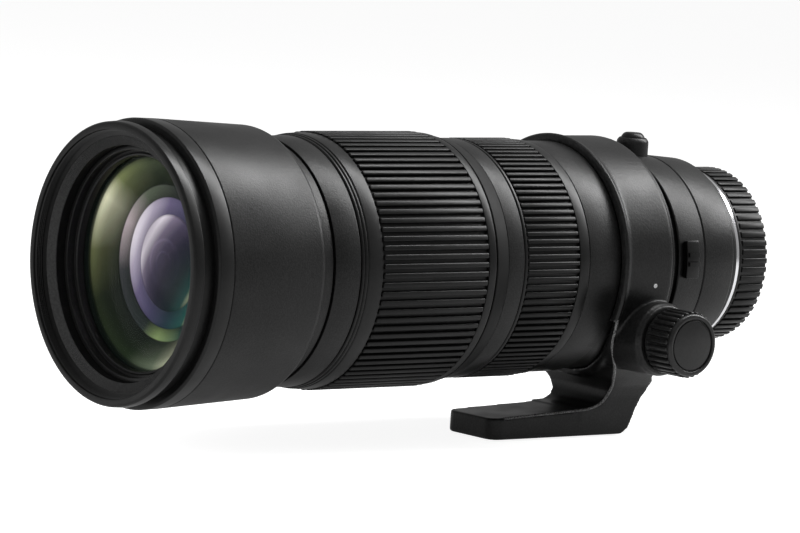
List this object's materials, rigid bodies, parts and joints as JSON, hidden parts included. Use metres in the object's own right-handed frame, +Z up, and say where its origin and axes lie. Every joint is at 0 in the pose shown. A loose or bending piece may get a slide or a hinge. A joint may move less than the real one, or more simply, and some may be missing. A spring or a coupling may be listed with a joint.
{
  "type": "camera zoom lens",
  "caption": "Black tele-zoom lens with flared front barrel, ribbed zoom and focus rings, tripod collar with clamp knob and foot, bayonet mount and rear cap.",
  "frame": {"origin": "centre of the bayonet mount's flange face, on the optical axis", "axes": "+X along the optical axis towards the camera body, +Z up, away from the tripod foot, +Y to the side away from the clamp knob"},
  "size_m": [0.2477, 0.1011, 0.103],
  "materials": {
    "satin_black": "smooth satin black paint",
    "speckle_black": "fine speckled satin black paint",
    "inner_black": "matte black anodised",
    "coated_glass": "polished, coated",
    "grip_rubber": "matte black",
    "alloy": "machined",
    "brass": "machined",
    "chrome": "bright plated",
    "steel": "turned",
    "motor_steel": "ground",
    "iris_steel": "blackened",
    "matte_plastic": "moulded black",
    "gloss_plastic": "glossy black",
    "board_green": "solder mask"
  },
  "bodies": {
    "barrel": {"filter_ring": "satin_black", "name_ring": "inner_black", "glass_retainer": "inner_black", "front_element": "coated_glass", "second_element": "coated_glass", "front_cell": "inner_black", "hood_ring": "satin_black", "front_barrel": "speckle_black", "neck_ring": "speckle_black", "main_tube": "alloy", "guide_tube": "alloy", "slope_ring": "satin_black", "scale_ring": "speckle_black", "main_barrel": "speckle_black", "motor_stator": "motor_steel", "iris_housing": "iris_steel", "rear_cell": "inner_black", "relay_element": "coated_glass", "rear_element": "coated_glass", "circuit_board": "board_green", "switch_barrel": "speckle_black", "mount_barrel": "speckle_black", "mount_plate": "chrome", "mount_screws": "steel", "rear_baffle": "matte_plastic", "contact_block": "brass", "catch_housing": "speckle_black", "catch_spring": "steel"},
    "zoom": {"zoom_ring": "satin_black", "zoom_grip": "grip_rubber", "cam_tube": "brass"},
    "variator": {"variator_cell": "inner_black", "variator_element": "coated_glass", "variator_pins": "steel"},
    "compensator": {"compensator_cell": "inner_black", "compensator_element": "coated_glass", "compensator_pins": "steel"},
    "focus": {"focus_ring": "satin_black", "focus_grip": "grip_rubber", "focus_cam": "brass", "motor_rotor": "motor_steel"},
    "focus_group": {"focus_cell": "inner_black", "focus_element": "coated_glass", "focus_pins": "steel"},
    "iris": {"iris_ring": "iris_steel"},
    "collar": {"tripod_collar": "speckle_black", "tripod_bush": "steel", "brake_pad": "brass"},
    "knob": {"clamp_knob": "gloss_plastic", "knob_screw": "steel"},
    "switch": {"mode_switch": "matte_plastic"},
    "catch": {"catch_button": "gloss_plastic"},
    "cap": {"rear_cap": "matte_plastic"},
    "blade_1": {"iris_blade_1": "iris_steel"},
    "blade_2": {"iris_blade_2": "iris_steel"},
    "blade_3": {"iris_blade_3": "iris_steel"},
    "blade_4": {"iris_blade_4": "iris_steel"},
    "blade_5": {"iris_blade_5": "iris_steel"},
    "blade_6": {"iris_blade_6": "iris_steel"},
    "blade_7": {"iris_blade_7": "iris_steel"}
  },
  "joints": [
    {"name": "zoom_turn", "type": "hinge", "parent": "barrel", "child": "zoom", "pos_m": [0, 0, 0], "axis": [1, 0, 0], "range_deg": [0, 80]},
    {"name": "variator_slide", "type": "slide", "parent": "barrel", "child": "variator", "axis": [1, 0, 0], "range_m": [0, 0.0222]},
    {"name": "compensator_slide", "type": "slide", "parent": "barrel", "child": "compensator", "axis": [1, 0, 0], "range_m": [0, 0.0081]},
    {"name": "focus_turn", "type": "hinge", "parent": "barrel", "child": "focus", "pos_m": [0, 0, 0], "axis": [1, 0, 0], "range_deg": [0, 90]},
    {"name": "focus_slide", "type": "slide", "parent": "barrel", "child": "focus_group", "axis": [1, 0, 0], "range_m": [-0.0061, 0]},
    {"name": "iris_turn", "type": "hinge", "parent": "barrel", "child": "iris", "pos_m": [0, 0, 0], "axis": [1, 0, 0], "range_deg": [0, 5]},
    {"name": "collar_turn", "type": "hinge", "parent": "barrel", "child": "collar", "pos_m": [0, 0, 0], "axis": [1, 0, 0], "continuous": true},
    {"name": "knob_turn", "type": "hinge", "parent": "collar", "child": "knob", "pos_m": [-0.0436, -0.05, -0.0225], "axis": [0, -1, 0], "range_deg": [0, 360]},
    {"name": "switch_swing", "type": "hinge", "parent": "barrel", "child": "switch", "pos_m": [0, 0, 0], "axis": [1, 0, 0], "range_deg": [-3, 3]},
    {"name": "catch_press", "type": "slide", "parent": "barrel", "child": "catch", "axis": [0, 0, -1], "range_m": [0, 0.0015], "stiffness_N_per_m": 800, "springref_m": -0.002, "deforming": ["catch_spring"]},
    {"name": "cap_twist", "type": "hinge", "parent": "barrel", "child": "cap", "pos_m": [0, 0, 0], "axis": [1, 0, 0], "range_deg": [0, 60]},
    {"name": "blade_1_swing", "type": "hinge", "parent": "barrel", "child": "blade_1", "pos_m": [-0.0556, 0, -0.0293], "axis": [1, 0, 0], "range_deg": [-28.2, 0]},
    {"name": "blade_2_swing", "type": "hinge", "parent": "barrel", "child": "blade_2", "pos_m": [-0.0556, 0.02291, -0.01827], "axis": [1, 0, 0], "range_deg": [-28.2, 0]},
    {"name": "blade_3_swing", "type": "hinge", "parent": "barrel", "child": "blade_3", "pos_m": [-0.0556, 0.02857, 0.00652], "axis": [1, 0, 0], "range_deg": [-28.2, 0]},
    {"name": "blade_4_swing", "type": "hinge", "parent": "barrel", "child": "blade_4", "pos_m": [-0.0556, 0.01271, 0.0264], "axis": [1, 0, 0], "range_deg": [-28.2, 0]},
    {"name": "blade_5_swing", "type": "hinge", "parent": "barrel", "child": "blade_5", "pos_m": [-0.0556, -0.01271, 0.0264], "axis": [1, 0, 0], "range_deg": [-28.2, 0]},
    {"name": "blade_6_swing", "type": "hinge", "parent": "barrel", "child": "blade_6", "pos_m": [-0.0556, -0.02857, 0.00652], "axis": [1, 0, 0], "range_deg": [-28.2, 0]},
    {"name": "blade_7_swing", "type": "hinge", "parent": "barrel", "child": "blade_7", "pos_m": [-0.0556, -0.02291, -0.01827], "axis": [1, 0, 0], "range_deg": [-28.2, 0]}
  ],
  "couplings": [
    {"joint": "variator_slide", "follows": "zoom_turn", "m_per_rad": 0.015756},
    {"joint": "compensator_slide", "follows": "zoom_turn", "m_per_rad": 0.00573},
    {"joint": "focus_slide", "follows": "focus_turn", "m_per_rad": -0.00382},
    {"joint": "blade_1_swing", "follows": "iris_turn", "ratio": -5.6},
    {"joint": "blade_2_swing", "follows": "iris_turn", "ratio": -5.6},
    {"joint": "blade_3_swing", "follows": "iris_turn", "ratio": -5.6},
    {"joint": "blade_4_swing", "follows": "iris_turn", "ratio": -5.6},
    {"joint": "blade_5_swing", "follows": "iris_turn", "ratio": -5.6},
    {"joint": "blade_6_swing", "follows": "iris_turn", "ratio": -5.6},
    {"joint": "blade_7_swing", "follows": "iris_turn", "ratio": -5.6}
  ]
}
